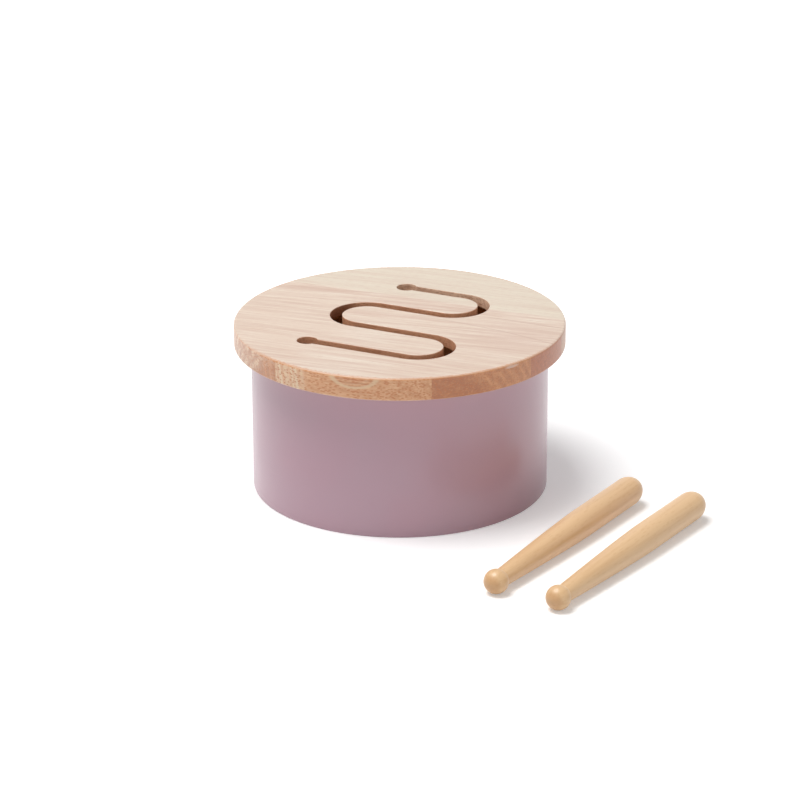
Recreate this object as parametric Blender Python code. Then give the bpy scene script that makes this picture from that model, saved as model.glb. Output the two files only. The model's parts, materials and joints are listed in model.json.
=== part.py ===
"""A small wooden tongue drum with its two turned drumsticks.

A round lid, glued up from boards laid side by side, sits on a painted plywood ring. The lid is hollowed out below,
and one winding slot is routed right through it, which leaves thin tongues that sound when they are struck. A thin
plywood disc closes the ring below. Both drumsticks lie on the surface that the drum stands on.

Lengths are in metres and angles in degrees. +Z is up, and the origin is the centre of the drum's underside.
"""

import math

import bmesh
import bpy
from mathutils import Vector

# Lid
LID_RADIUS = 0.0825
LID_THICKNESS = 0.0114
LID_EDGE_ROUND = 0.0011
LID_UNDERSIDE_HEIGHT = 0.0743

# Round hollow in the lid's underside, which leaves the tongues thin enough to sound. The lip is what stays
# between the hollow and the groove for the shell.
TONGUE_THICKNESS = 0.0050
HOLLOW_LIP = 0.0040

# Boards of the lid, counted from the front. The narrow boards at the front and back are measured from the rim,
# and the glue lines between the broad ones from the lid's centre.
BOARD_TURN = -18.0
FRONT_BOARD_WIDTH = 0.0100
BACK_BOARD_WIDTH = 0.0045
INNER_GLUE_LINES = (-0.0309, 0.0031, 0.0351)
GLUE_LINE = 0.0003

# Ring-shaped shell, let into a groove in the underside of the lid
LID_OVERHANG = 0.0084
SHELL_WALL = 0.0060
SHELL_FOOT_ROUND = 0.0008
GROOVE_DEPTH = 0.0030
FIT_GAP = 0.0003

# Disc that closes the shell below, let into a rebate in the shell's inner edge
BASE_THICKNESS = 0.0040
BASE_REBATE = 0.0030

# Winding slot: four straight runs joined by three half turns, with a round hole at each end.
# Places along the runs are measured from the lid's centre, positive to the right.
SLOT_TURN = -25.8
SLOT_WIDTH = 0.0060
SLOT_EDGE_BEVEL = 0.0004
END_HOLE_WIDENING = 0.0021
HALF_TURN_RADIUS = 0.0153
SLOT_SHIFT_BACK = 0.0005
BACK_HOLE_PLACE = -0.0184
BACK_TURN_PLACE = 0.0149
MIDDLE_TURN_PLACE = -0.0186
FRONT_TURN_PLACE = 0.0245
FRONT_HOLE_PLACE = -0.0283

# Drumsticks, each turned from one rod: ball, neck, long taper, grip and domed end
BALL_RADIUS = 0.0060
NECK_STEP = 0.0016
GRIP_RADIUS = 0.0073
TAPER_LENGTH = 0.0770
GRIP_LENGTH = 0.0448
DOME_LENGTH = 0.0097
TAPER_POWER = 1.25

# Each drumstick lies in front of the drum and to its right, turned this far from the drum's width. Its line
# passes the lid's rim at the first distance, and its ball is the second distance short of that place.
LEFT_STICK_TURN = 56.3
LEFT_STICK_FROM_RIM = 0.0311
LEFT_STICK_BALL_BACK = 0.0901
RIGHT_STICK_TURN = 55.5
RIGHT_STICK_FROM_RIM = 0.0657
RIGHT_STICK_BALL_BACK = 0.0875

# How finely the round shapes are divided
RING_STEPS = 96
STICK_STEPS = 24
ROUND_STEPS = 3
HALF_TURN_STEPS = 18
END_HOLE_STEPS = 16
BALL_STEPS = 9
TAPER_STEPS = 8
DOME_STEPS = 6

# How far a cutter reaches past what it cuts, and how meshes are joined and shaded
CUT_MARGIN = 0.0050
MERGE_DISTANCE = 0.00001
SMOOTH_ANGLE = 35.0

# Colours (linear) and roughness
BARE_WOOD = ((0.80, 0.66, 0.55), 0.55)
MAUVE_PAINT = ((0.40, 0.26, 0.31), 0.45)
PLYWOOD = ((0.72, 0.55, 0.38), 0.65)
LACQUERED_WOOD = ((0.75, 0.47, 0.24), 0.35)


def clear_scene():
    """Remove the objects of the scene that the script starts in."""
    for old in list(bpy.data.objects):
        bpy.data.objects.remove(old, do_unlink=True)


def plain_material(name, finish):
    """A Principled material of one colour and roughness, without metal."""
    colour, roughness = finish
    material = bpy.data.materials.new(name)
    material.use_nodes = True
    shader = material.node_tree.nodes["Principled BSDF"]
    shader.inputs["Base Color"].default_value = (*colour, 1.0)
    shader.inputs["Roughness"].default_value = roughness
    shader.inputs["Metallic"].default_value = 0.0
    material.diffuse_color = (*colour, 1.0)
    return material


def link_object(name, mesh, material=None):
    """Put a mesh into the scene as an object."""
    item = bpy.data.objects.new(name, mesh)
    bpy.context.scene.collection.objects.link(item)
    if material is not None:
        mesh.materials.append(material)
    return item


def hide_as_cutter(item):
    """Mark an object as a cutter, which is no piece of the drum."""
    item.hide_render = True
    item.display_type = "WIRE"


def corner_arc(centre, radius, start, end, steps):
    """Points along an arc in the profile plane, both ends included."""
    points = []
    for step in range(steps + 1):
        angle = math.radians(start + (end - start) * step / steps)
        points.append((centre[0] + radius * math.cos(angle), centre[1] + radius * math.sin(angle)))
    return points


def evaluated_mesh(item, name):
    """The mesh of an object with all its modifiers applied."""
    depsgraph = bpy.context.evaluated_depsgraph_get()
    depsgraph.update()
    mesh = bpy.data.meshes.new_from_object(item.evaluated_get(depsgraph))
    mesh.name = name
    return mesh


def smooth_round_faces(mesh):
    """Shade a mesh smooth, except across its real corners."""
    mesh.shade_smooth()
    mesh.set_sharp_from_angle(angle=math.radians(SMOOTH_ANGLE))


def turned_mesh(name, profile, steps, closed):
    """Turn a profile about Z. It runs down the outer side, as (radius, height) points."""
    outline = bpy.data.meshes.new(name + "_profile")
    shape = bmesh.new()
    points = [shape.verts.new((radius, 0.0, height)) for radius, height in profile]
    for first, second in zip(points, points[1:]):
        shape.edges.new((first, second))
    if closed:
        shape.edges.new((points[-1], points[0]))
    shape.to_mesh(outline)
    shape.free()
    guide = link_object(name + "_profile", outline)
    screw = guide.modifiers.new("Turn", "SCREW")
    screw.axis = "Z"
    screw.angle = 2.0 * math.pi
    screw.steps = steps
    screw.render_steps = steps
    screw.use_merge_vertices = True
    screw.merge_threshold = MERGE_DISTANCE
    mesh = evaluated_mesh(guide, name)
    bpy.data.objects.remove(guide, do_unlink=True)
    smooth_round_faces(mesh)
    return mesh


def shell_outer_radius():
    """Outside of the shell, which stands back from the lid's rim."""
    return LID_RADIUS - LID_OVERHANG


def shell_inner_radius():
    """Inside of the shell's wall."""
    return shell_outer_radius() - SHELL_WALL


def lid_blank():
    """The whole lid as one disc, with rounded edges, and the groove for the shell and the hollow below."""
    top = LID_UNDERSIDE_HEIGHT + LID_THICKNESS
    bottom = LID_UNDERSIDE_HEIGHT
    groove_top = bottom + GROOVE_DEPTH
    groove_inner = shell_inner_radius() - FIT_GAP
    hollow_top = top - TONGUE_THICKNESS
    corner = LID_RADIUS - LID_EDGE_ROUND
    profile = [(0.0, top)]
    profile += corner_arc((corner, top - LID_EDGE_ROUND), LID_EDGE_ROUND, 90.0, 0.0, ROUND_STEPS)
    profile += corner_arc((corner, bottom + LID_EDGE_ROUND), LID_EDGE_ROUND, 0.0, -90.0, ROUND_STEPS)
    profile += [
        (shell_outer_radius() + FIT_GAP, bottom),
        (shell_outer_radius() + FIT_GAP, groove_top),
        (groove_inner, groove_top),
        (groove_inner, bottom),
        (groove_inner - HOLLOW_LIP, bottom),
        (groove_inner - HOLLOW_LIP, hollow_top),
        (0.0, hollow_top),
    ]
    blank = link_object("lid_blank", turned_mesh("lid_blank", profile, RING_STEPS, closed=False))
    hide_as_cutter(blank)
    return blank


def turned_about_centre(place, across, turn):
    """A plan position from its distance along and across a direction through the lid's centre."""
    angle = math.radians(turn)
    x = place * math.cos(angle) - across * math.sin(angle)
    y = place * math.sin(angle) + across * math.cos(angle)
    return x, y


def slot_outline(widening):
    """Plan outline of the slot, as (along, across) points, widened on all sides."""
    half = SLOT_WIDTH / 2.0 + widening
    turns = (BACK_TURN_PLACE, MIDDLE_TURN_PLACE, FRONT_TURN_PLACE)
    bulges = (1.0, -1.0, 1.0)

    def half_turn(index, radius):
        """One side of a half turn, from its back end to its front end."""
        across = SLOT_SHIFT_BACK + (2.0 - 2.0 * index) * HALF_TURN_RADIUS
        arc = corner_arc((0.0, 0.0), radius, 90.0, -90.0, HALF_TURN_STEPS)
        return [(turns[index] + bulges[index] * along, across + up) for along, up in arc]

    def end_hole(place, runs_from_centre):
        """The round end of the slot, open to the right, from its front side round to its back side."""
        radius = half + END_HOLE_WIDENING
        neck = math.degrees(math.asin(half / radius))
        across = SLOT_SHIFT_BACK + runs_from_centre * HALF_TURN_RADIUS
        return corner_arc((place, across), radius, -neck, neck - 360.0, END_HOLE_STEPS)

    outline = []
    for index in (0, 1, 2):
        outline += half_turn(index, HALF_TURN_RADIUS + bulges[index] * half)
    outline += end_hole(FRONT_HOLE_PLACE, -3.0)
    for index in (2, 1, 0):
        outline += half_turn(index, HALF_TURN_RADIUS - bulges[index] * half)[::-1]
    outline += end_hole(BACK_HOLE_PLACE, 3.0)
    return outline


def slot_cutter():
    """The space of the slot, with a small bevel at the lid's top face."""
    top = LID_UNDERSIDE_HEIGHT + LID_THICKNESS
    levels = (
        (LID_UNDERSIDE_HEIGHT - CUT_MARGIN, 0.0),
        (top - SLOT_EDGE_BEVEL, 0.0),
        (top + SLOT_EDGE_BEVEL, 2.0 * SLOT_EDGE_BEVEL),
    )
    mesh = bpy.data.meshes.new("slot_cutter")
    shape = bmesh.new()
    rings = []
    for height, widening in levels:
        ring = []
        for along, across in slot_outline(widening):
            x, y = turned_about_centre(along, across, SLOT_TURN)
            ring.append(shape.verts.new((x, y, height)))
        rings.append(ring)
    shape.faces.new(rings[0])
    shape.faces.new(rings[-1][::-1])
    for lower, upper in zip(rings, rings[1:]):
        for index, corner in enumerate(lower):
            following = (index + 1) % len(lower)
            shape.faces.new((corner, upper[index], upper[following], lower[following]))
    bmesh.ops.recalc_face_normals(shape, faces=shape.faces)
    shape.to_mesh(mesh)
    shape.free()
    cutter = link_object("slot_cutter", mesh)
    hide_as_cutter(cutter)
    return cutter


def glue_lines():
    """Distances of the glue lines from the lid's centre, front to back."""
    return [FRONT_BOARD_WIDTH - LID_RADIUS, *INNER_GLUE_LINES, LID_RADIUS - BACK_BOARD_WIDTH]


def board_block(number, front, back):
    """A block as wide as one board, which the lid blank is cut down to."""
    reach = LID_RADIUS + CUT_MARGIN
    low = LID_UNDERSIDE_HEIGHT - CUT_MARGIN
    high = LID_UNDERSIDE_HEIGHT + LID_THICKNESS + CUT_MARGIN
    mesh = bpy.data.meshes.new("board_block")
    shape = bmesh.new()
    bmesh.ops.create_cube(shape, size=1.0)
    for corner in shape.verts:
        along = reach * (1.0 if corner.co.x > 0.0 else -1.0)
        across = back if corner.co.y > 0.0 else front
        x, y = turned_about_centre(along, across, BOARD_TURN)
        corner.co = Vector((x, y, high if corner.co.z > 0.0 else low))
    bmesh.ops.recalc_face_normals(shape, faces=shape.faces)
    shape.to_mesh(mesh)
    shape.free()
    block = link_object(f"board_block_{number}", mesh)
    hide_as_cutter(block)
    return block


def separate_bodies(mesh):
    """Split a mesh into one mesh for each closed body, from left to right."""
    whole = bmesh.new()
    whole.from_mesh(mesh)
    whole.faces.ensure_lookup_table()
    left = set(whole.faces)
    groups = []
    while left:
        group = set()
        edge_of_group = [left.pop()]
        while edge_of_group:
            face = edge_of_group.pop()
            group.add(face)
            for edge in face.edges:
                for neighbour in edge.link_faces:
                    if neighbour in left:
                        left.discard(neighbour)
                        edge_of_group.append(neighbour)
        groups.append(sorted(face.index for face in group))
    whole.free()
    bodies = []
    for group in groups:
        body = bmesh.new()
        body.from_mesh(mesh)
        body.faces.ensure_lookup_table()
        keep = set(group)
        others = [face for face in body.faces if face.index not in keep]
        bmesh.ops.delete(body, geom=others, context="FACES")
        middle = sum(corner.co.x for corner in body.verts) / len(body.verts)
        part_mesh = bpy.data.meshes.new(mesh.name)
        body.to_mesh(part_mesh)
        body.free()
        bodies.append((middle, part_mesh))
    bodies.sort(key=lambda entry: entry[0])
    return [part_mesh for _, part_mesh in bodies]


def make_lid_boards(material):
    """Cut the lid blank into its boards and rout the slot through them."""
    blank = lid_blank()
    cutter = slot_cutter()
    half_gap = GLUE_LINE / 2.0
    lines = glue_lines()
    outer = LID_RADIUS + CUT_MARGIN
    fronts = [-outer] + [line + half_gap for line in lines]
    backs = [line - half_gap for line in lines] + [outer]
    for number, (front, back) in enumerate(zip(fronts, backs), start=1):
        block = board_block(number, front, back)
        cut = blank.copy()
        bpy.context.scene.collection.objects.link(cut)
        hide_as_cutter(cut)
        for label, operation, tool in (("Board", "INTERSECT", block), ("Slot", "DIFFERENCE", cutter)):
            boolean = cut.modifiers.new(label, "BOOLEAN")
            boolean.operation = operation
            boolean.object = tool
            boolean.solver = "EXACT"
        bodies = separate_bodies(evaluated_mesh(cut, f"lid_board_{number}"))
        bpy.data.objects.remove(cut, do_unlink=True)
        for index, mesh in enumerate(bodies):
            letter = chr(ord("a") + index) if len(bodies) > 1 else ""
            mesh.materials.clear()
            smooth_round_faces(mesh)
            link_object(f"lid_board_{number}{letter}", mesh, material)


def make_shell(material):
    """The painted ring, with a rebate inside its lower edge."""
    top = LID_UNDERSIDE_HEIGHT + GROOVE_DEPTH - FIT_GAP
    inner = shell_inner_radius()
    rebate = inner + BASE_REBATE
    foot = shell_outer_radius() - SHELL_FOOT_ROUND
    profile = [(shell_outer_radius(), top)]
    profile += corner_arc((foot, SHELL_FOOT_ROUND), SHELL_FOOT_ROUND, 0.0, -90.0, ROUND_STEPS)
    profile += [
        (rebate, 0.0),
        (rebate, BASE_THICKNESS + FIT_GAP),
        (inner, BASE_THICKNESS + FIT_GAP),
        (inner, top),
    ]
    return link_object("shell", turned_mesh("shell", profile, RING_STEPS, closed=True), material)


def make_base_board(material):
    """The plywood disc in the shell's rebate, flush with its lower edge."""
    radius = shell_inner_radius() + BASE_REBATE - FIT_GAP
    profile = [(0.0, BASE_THICKNESS), (radius, BASE_THICKNESS), (radius, 0.0), (0.0, 0.0)]
    return link_object("base_board", turned_mesh("base_board", profile, RING_STEPS, closed=False), material)


def stick_profile():
    """Outline of a drumstick from its domed end down to its ball, whose centre is at height zero."""
    neck_radius = BALL_RADIUS - NECK_STEP
    neck_angle = math.degrees(math.acos(neck_radius / BALL_RADIUS))
    neck_place = BALL_RADIUS * math.sin(math.radians(neck_angle))
    grip_end = TAPER_LENGTH + GRIP_LENGTH
    profile = [(0.0, grip_end + DOME_LENGTH)]
    for step in range(1, DOME_STEPS + 1):
        angle = math.radians(90.0 * (1.0 - step / DOME_STEPS))
        profile.append((GRIP_RADIUS * math.cos(angle), grip_end + DOME_LENGTH * math.sin(angle)))
    for step in range(TAPER_STEPS + 1):
        share = step / TAPER_STEPS
        place = TAPER_LENGTH + (neck_place - TAPER_LENGTH) * share
        profile.append((GRIP_RADIUS + (neck_radius - GRIP_RADIUS) * share ** TAPER_POWER, place))
    ball = corner_arc((0.0, 0.0), BALL_RADIUS, neck_angle, -90.0, BALL_STEPS)
    profile += ball[1:-1]
    profile.append((0.0, -BALL_RADIUS))
    return profile


def make_drumstick(name, turn, from_rim, ball_back, material):
    """One drumstick, lying on its ball and on the front of its grip."""
    mesh = turned_mesh(name, stick_profile(), STICK_STEPS, closed=False)
    stick = link_object(name, mesh, material)
    rise = math.atan2(GRIP_RADIUS - BALL_RADIUS, TAPER_LENGTH)
    x, y = turned_about_centre(-ball_back, -(LID_RADIUS + from_rim), turn)
    stick.rotation_mode = "XYZ"
    stick.rotation_euler = (0.0, math.pi / 2.0 - rise, math.radians(turn))
    stick.location = (x, y, BALL_RADIUS)
    return stick


def main():
    """Build the drum and its drumsticks."""
    clear_scene()
    make_lid_boards(plain_material("bare_wood", BARE_WOOD))
    make_shell(plain_material("mauve_paint", MAUVE_PAINT))
    make_base_board(plain_material("plywood", PLYWOOD))
    lacquered = plain_material("lacquered_wood", LACQUERED_WOOD)
    make_drumstick(
        "drumstick_left", LEFT_STICK_TURN, LEFT_STICK_FROM_RIM, LEFT_STICK_BALL_BACK, lacquered
    )
    make_drumstick(
        "drumstick_right", RIGHT_STICK_TURN, RIGHT_STICK_FROM_RIM, RIGHT_STICK_BALL_BACK, lacquered
    )


main()
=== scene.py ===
"""A small wooden tongue drum with two turned drumsticks, dressed for rendering.

The lid is glued up from boards and has one winding slot routed through it. It sits on a ring painted mauve,
and two lacquered drumsticks lie beside the drum. Lengths are in metres and angles in degrees. +Z is up, and
the origin is the centre of the drum's underside.
"""

import json
import math

import bmesh
import bpy
from bpy.props import FloatProperty, FloatVectorProperty, IntProperty, PointerProperty
from mathutils import Euler, Matrix, Vector

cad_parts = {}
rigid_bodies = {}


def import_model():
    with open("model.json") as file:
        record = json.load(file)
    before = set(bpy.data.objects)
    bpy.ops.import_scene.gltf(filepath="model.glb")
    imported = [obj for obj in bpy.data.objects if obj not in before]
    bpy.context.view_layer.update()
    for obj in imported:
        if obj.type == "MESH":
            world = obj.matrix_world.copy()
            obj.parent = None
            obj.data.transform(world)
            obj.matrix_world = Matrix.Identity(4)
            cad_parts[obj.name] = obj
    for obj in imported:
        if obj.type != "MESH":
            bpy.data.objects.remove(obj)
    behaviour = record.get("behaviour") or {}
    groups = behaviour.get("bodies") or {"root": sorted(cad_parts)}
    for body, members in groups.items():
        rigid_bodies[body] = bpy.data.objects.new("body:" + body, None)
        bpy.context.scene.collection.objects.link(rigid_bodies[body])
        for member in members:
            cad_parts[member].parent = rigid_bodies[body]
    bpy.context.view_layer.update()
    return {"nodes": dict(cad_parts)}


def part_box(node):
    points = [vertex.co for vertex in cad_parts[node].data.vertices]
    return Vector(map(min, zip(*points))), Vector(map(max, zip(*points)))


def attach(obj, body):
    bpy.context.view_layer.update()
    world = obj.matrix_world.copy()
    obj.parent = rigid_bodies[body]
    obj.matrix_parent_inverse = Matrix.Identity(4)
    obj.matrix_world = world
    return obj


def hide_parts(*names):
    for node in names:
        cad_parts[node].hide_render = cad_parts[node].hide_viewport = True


for old in list(bpy.data.objects):
    bpy.data.objects.remove(old, do_unlink=True)

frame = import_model()

bl_info = {
    "name": "Tongue drum",
    "version": (1, 0, 0),
    "blender": (4, 5, 0),
    "location": "3D View > Sidebar > Drum",
    "description": "Makes a small wooden tongue drum with its drumsticks, and a pale studio for it",
    "category": "Add Mesh",
}

# Places that the frame gives
shell_low, shell_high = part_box("shell")
base_low, base_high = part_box("base_board")
lid_low, lid_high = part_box("lid_board_3a")
lid_names = sorted(name for name in frame["nodes"] if name.startswith("lid_board_"))
lid_reach = max(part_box(name)[1].x for name in lid_names)

# Values shared by the pieces. A face counts as level where its normal's Z is over FLAT_FACING, up or down.
JOIN_DISTANCE = 0.000002
SPINDLE_RADIUS = 0.001
CUT_MARGIN = 0.004
SMOOTH_ANGLE = 32.0
FLAT_FACING = 0.9999


def screen_colour(red, green, blue):
    """A linear colour with alpha, from a colour as a screen shows it, 0 to 255."""
    linear = []
    for value in (red, green, blue):
        share = value / 255.0
        linear.append(share / 12.92 if share <= 0.04045 else ((share + 0.055) / 1.055) ** 2.4)
    return (*linear, 1.0)


def length(name, description, default, **limits):
    """A property that holds a length, or several where the default is a row of them."""
    if isinstance(default, tuple):
        return FloatVectorProperty(
            name=name, description=description, default=default, size=len(default), unit="LENGTH", **limits
        )
    return FloatProperty(name=name, description=description, default=default, unit="LENGTH", **limits)


class LidSettings(bpy.types.PropertyGroup):
    """Sizes of the lid and its slot."""

    edge_round: length("Edge round", "Rounding of the rim's two edges", 0.0011, min=0.0)
    tongue_thickness: length("Tongue thickness", "Thickness of the lid over its hollow", 0.0050)
    hollow_lip: length("Hollow lip", "Width left between the hollow and the groove", 0.0040)
    board_turn: FloatProperty(
        name="Board turn", description="Direction of the boards, degrees from the drum's width", default=-18.0
    )
    glue_lines: length(
        "Glue lines",
        "Distances of the glue lines from the lid's centre, front to back",
        (-0.0725, -0.0309, 0.0031, 0.0351, 0.0780),
    )
    groove_depth: length("Groove depth", "How far the ring goes into the lid", 0.0030)
    groove_fit: length("Groove fit", "Clearance of the ring in its groove", 0.00006)
    slot_turn: FloatProperty(
        name="Slot turn",
        description="Direction of the slot's runs, degrees from the drum's width",
        default=-25.8,
    )
    slot_width: length("Slot width", "Width of the slot", 0.0060)
    slot_edge: length("Slot edge", "Rounding of the slot's upper edges", 0.00042)
    hole_radius: length("Hole radius", "Radius of the round holes at the slot's ends", 0.0051)
    turn_radius: length("Turn radius", "Radius of the slot's half turns", 0.0153)
    slot_shift: length("Slot shift", "How far the slot lies behind the lid's centre", 0.0005)
    hole_places: length(
        "Hole places",
        "Places of the back and the front hole along the runs, from the lid's centre",
        (-0.0184, -0.0283),
    )
    turn_places: length(
        "Turn places",
        "Places of the back, middle and front half turn along the runs, from the lid's centre",
        (0.0149, -0.0186, 0.0245),
    )
    ring_steps: IntProperty(name="Ring steps", description="Faces round the drum", default=256, min=12)
    turn_steps: IntProperty(name="Turn steps", description="Faces round one half turn", default=44, min=6)


class ShellSettings(bpy.types.PropertyGroup):
    """Sizes of the ring and the board that closes it below."""

    wall: length("Wall", "Thickness of the ring", 0.0060)
    foot_round: length("Foot round", "Rounding of the ring's lower edge", 0.0008)
    rebate: length("Rebate", "Width of the ledge for the base board", 0.0030)
    paint: FloatVectorProperty(
        name="Paint", description="Colour of the painted ring", subtype="COLOR", size=4,
        default=screen_colour(190, 154, 168), min=0.0, max=1.0,
    )


class StickSettings(bpy.types.PropertyGroup):
    """Sizes and places of the drumsticks."""

    ball_radius: length("Ball radius", "Radius of the ball", 0.0060)
    neck_radius: length("Neck radius", "Radius at the ball", 0.0044)
    grip_radius: length("Grip radius", "Radius of the grip", 0.0073)
    taper_length: length("Taper length", "From the ball's centre to the grip", 0.0770)
    grip_length: length("Grip length", "Length of the grip", 0.0448)
    dome_length: length("Dome length", "Length of the domed end", 0.0097)
    taper_power: FloatProperty(name="Taper power", description="How hollow the taper is", default=1.25)
    turns: FloatVectorProperty(
        name="Turns", description="Directions of the two sticks, degrees from the drum's width", size=2,
        default=(56.3, 55.5),
    )
    from_rim: length("From rim", "Distances of the sticks' lines from the lid's rim", (0.0311, 0.0657))
    ball_back: length(
        "Ball back", "How far each ball lies short of the place nearest the rim", (0.0901, 0.0875)
    )
    steps: IntProperty(name="Steps", description="Faces round a stick", default=64, min=8)


class StageSettings(bpy.types.PropertyGroup):
    """Camera and light."""

    camera_place: FloatVectorProperty(
        name="Camera place", description="Where the camera stands", size=3, subtype="TRANSLATION",
        default=(0.0, -1.4688, 0.6145),
    )
    camera_pitch: FloatProperty(
        name="Camera pitch", description="Tilt of the camera, degrees up from straight down", default=68.74
    )
    camera_roll: FloatProperty(name="Camera roll", description="Turn about the view, degrees", default=-0.18)
    lens: FloatProperty(name="Lens", description="Focal length in millimetres", default=141.29)
    sky: FloatProperty(name="Sky", description="Strength of the even light all round", default=0.22)
    softbox: FloatProperty(name="Softbox", description="Power of the lamp overhead, watts", default=33.8)
    front_boxes: FloatVectorProperty(
        name="Front boxes", description="Power of the left and the right lamp in front, watts", size=2,
        default=(1.1, 2.2),
    )


def settings():
    """The scene's drum settings."""
    return bpy.context.scene.drum_settings


class DrumSettings(bpy.types.PropertyGroup):
    """All settings of the drum."""

    lid: PointerProperty(type=LidSettings)
    shell: PointerProperty(type=ShellSettings)
    sticks: PointerProperty(type=StickSettings)
    stage: PointerProperty(type=StageSettings)


def arc(centre, radius, start, end, steps):
    """Points along an arc, both ends included."""
    points = []
    for step in range(steps + 1):
        angle = math.radians(start + (end - start) * step / steps)
        points.append((centre[0] + radius * math.cos(angle), centre[1] + radius * math.sin(angle)))
    return points


def turned_about_centre(place, across, turn):
    """A plan position from its distance along and across a direction through the lid's centre."""
    angle = math.radians(turn)
    x = place * math.cos(angle) - across * math.sin(angle)
    y = place * math.sin(angle) + across * math.cos(angle)
    return x, y


def link_object(name, mesh):
    """Put a mesh into the scene as an object."""
    item = bpy.data.objects.new(name, mesh)
    bpy.context.scene.collection.objects.link(item)
    return item


def polyline(name, points, closed):
    """An object of edges through the points."""
    edges = [(index, index + 1) for index in range(len(points) - 1)]
    if closed:
        edges.append((len(points) - 1, 0))
    mesh = bpy.data.meshes.new(name)
    mesh.from_pydata([(*point, 0.0) for point in points], edges, [])
    return link_object(name, mesh)


def finished_mesh(item, name):
    """The mesh of an object with its modifiers applied. The object is removed."""
    depsgraph = bpy.context.evaluated_depsgraph_get()
    depsgraph.update()
    mesh = bpy.data.meshes.new_from_object(item.evaluated_get(depsgraph))
    mesh.name = name
    bpy.data.objects.remove(item, do_unlink=True)
    return mesh


def point_faces_out(mesh):
    """Merge doubles and turn the faces of a closed mesh outwards."""
    shape = bmesh.new()
    shape.from_mesh(mesh)
    bmesh.ops.remove_doubles(shape, verts=shape.verts, dist=JOIN_DISTANCE)
    bmesh.ops.dissolve_degenerate(shape, edges=shape.edges, dist=JOIN_DISTANCE)
    bmesh.ops.recalc_face_normals(shape, faces=shape.faces)
    shape.to_mesh(mesh)
    shape.free()


def smooth_round_faces(mesh):
    """Shade round faces smooth, and leave flat tops and real corners crisp."""
    mesh.shade_smooth()
    mesh.set_sharp_from_angle(angle=math.radians(SMOOTH_ANGLE))
    for face in mesh.polygons:
        if abs(face.normal.z) > FLAT_FACING:
            face.use_smooth = False


# Geometry Nodes


def new_group(name, kind, inputs, outputs):
    """A node group with named sockets, with its input and output nodes."""
    tree = bpy.data.node_groups.new(name, kind)
    for label, socket_type, value in inputs:
        socket = tree.interface.new_socket(name=label, in_out="INPUT", socket_type=socket_type)
        if value is not None:
            socket.default_value = value
    for label, socket_type in outputs:
        tree.interface.new_socket(name=label, in_out="OUTPUT", socket_type=socket_type)
    return tree, tree.nodes.new("NodeGroupInput"), tree.nodes.new("NodeGroupOutput")


def group_named(name, build):
    """A node group, built once."""
    return bpy.data.node_groups.get(name) or build(name)


def set_inputs(tree, node, inputs):
    """Set the inputs of a node, or link them where a socket is given."""
    for key, value in inputs.items():
        if isinstance(value, bpy.types.NodeSocket):
            tree.links.new(value, node.inputs[key])
        else:
            node.inputs[key].default_value = value


def add_node(tree, kind, inputs, **options):
    """A node with its options and inputs set."""
    node = tree.nodes.new(kind)
    for key, value in options.items():
        setattr(node, key, value)
    set_inputs(tree, node, inputs)
    return node


def start_sweep(name, own_inputs):
    """A tree for a sweep, with its input and output nodes and the line of the object that it is put on."""
    inputs = [
        ("Geometry", "NodeSocketGeometry", None),
        *own_inputs,
        ("Join Distance", "NodeSocketFloat", JOIN_DISTANCE),
        ("Material", "NodeSocketMaterial", None),
    ]
    tree, start, end = new_group(name, "GeometryNodeTree", inputs, [("Geometry", "NodeSocketGeometry")])
    own_line = add_node(tree, "GeometryNodeMeshToCurve", {"Mesh": start.outputs["Geometry"]}).outputs["Curve"]
    return tree, start.outputs, end, own_line


def finish_sweep(tree, given, end, path, section):
    """Sweep a section along a path, join its ends and give it its material."""
    upright = add_node(tree, "GeometryNodeSetCurveNormal", {"Curve": path}, mode="Z_UP").outputs["Curve"]
    inputs = {"Curve": upright, "Profile Curve": section, "Fill Caps": True}
    mesh = add_node(tree, "GeometryNodeCurveToMesh", inputs).outputs["Mesh"]
    inputs = {"Geometry": mesh, "Distance": given["Join Distance"]}
    joined = add_node(tree, "GeometryNodeMergeByDistance", inputs).outputs["Geometry"]
    real = add_node(tree, "GeometryNodeRealizeInstances", {"Geometry": joined}).outputs["Geometry"]
    inputs = {"Geometry": real, "Material": given["Material"]}
    finished = add_node(tree, "GeometryNodeSetMaterial", inputs).outputs["Geometry"]
    tree.links.new(finished, end.inputs["Geometry"])
    return tree


def turning_tree(name):
    """A tree that sweeps the object's own line round a spindle."""
    own_inputs = [("Steps", "NodeSocketInt", 64), ("Spindle Radius", "NodeSocketFloat", SPINDLE_RADIUS)]
    tree, given, end, section = start_sweep(name, own_inputs)
    inputs = {"Resolution": given["Steps"], "Radius": given["Spindle Radius"]}
    circle = add_node(tree, "GeometryNodeCurvePrimitiveCircle", inputs).outputs["Curve"]
    return finish_sweep(tree, given, end, circle, section)


def routing_tree(name):
    """A tree that sweeps another object's line along the object's own."""
    tree, given, end, path = start_sweep(name, [("Section", "NodeSocketObject", None)])
    outline = add_node(tree, "GeometryNodeObjectInfo", {"Object": given["Section"]}).outputs["Geometry"]
    section = add_node(tree, "GeometryNodeMeshToCurve", {"Mesh": outline}).outputs["Curve"]
    return finish_sweep(tree, given, end, path, section)


def run_tree(item, tree, values):
    """Put a tree on an object and set its named inputs."""
    modifier = item.modifiers.new(tree.name, "NODES")
    modifier.node_group = tree
    for socket in tree.interface.items_tree:
        if socket.in_out == "INPUT" and socket.name in values:
            modifier[socket.identifier] = values[socket.name]


def turned_mesh(name, profile, steps, closed, material=None):
    """Turn a profile about Z. It runs from the top down the outer side, as (radius, height) points."""
    line = [(radius - SPINDLE_RADIUS, -height) for radius, height in profile]
    outline = polyline(name + "_profile", line, closed)
    values = {"Steps": steps}
    if material:
        values["Material"] = material
    run_tree(outline, group_named("Turned piece", turning_tree), values)
    mesh = finished_mesh(outline, name)
    point_faces_out(mesh)
    return mesh


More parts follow.
